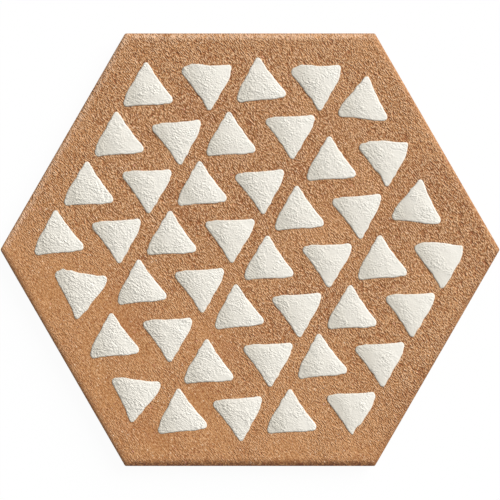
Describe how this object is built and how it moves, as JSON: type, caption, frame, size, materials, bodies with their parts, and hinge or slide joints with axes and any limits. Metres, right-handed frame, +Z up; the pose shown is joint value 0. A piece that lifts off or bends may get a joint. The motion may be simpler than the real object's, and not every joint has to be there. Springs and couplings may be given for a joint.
{
  "type": "hexagon floor tile",
  "caption": "Hexagonal terracotta-coloured stoneware floor tile with a softened edge, its face set with leaning files of raised white glaze triangles that point up and down by turns.",
  "frame": {"origin": "middle of the back, where the tile rests on the floor", "axes": "+Z up out of the face, +X from the left corner to the right corner as the picture shows the face, +Y across the flats towards the top of the picture"},
  "size_m": [0.2998, 0.26, 0.0111],
  "materials": {
    "terracotta": "matt, lightly rough, unglazed",
    "white_glaze": "matt, finely granular"
  },
  "bodies": {
    "root": {"tile_body": "terracotta", "glaze_triangles": "white_glaze"}
  },
  "joints": []
}
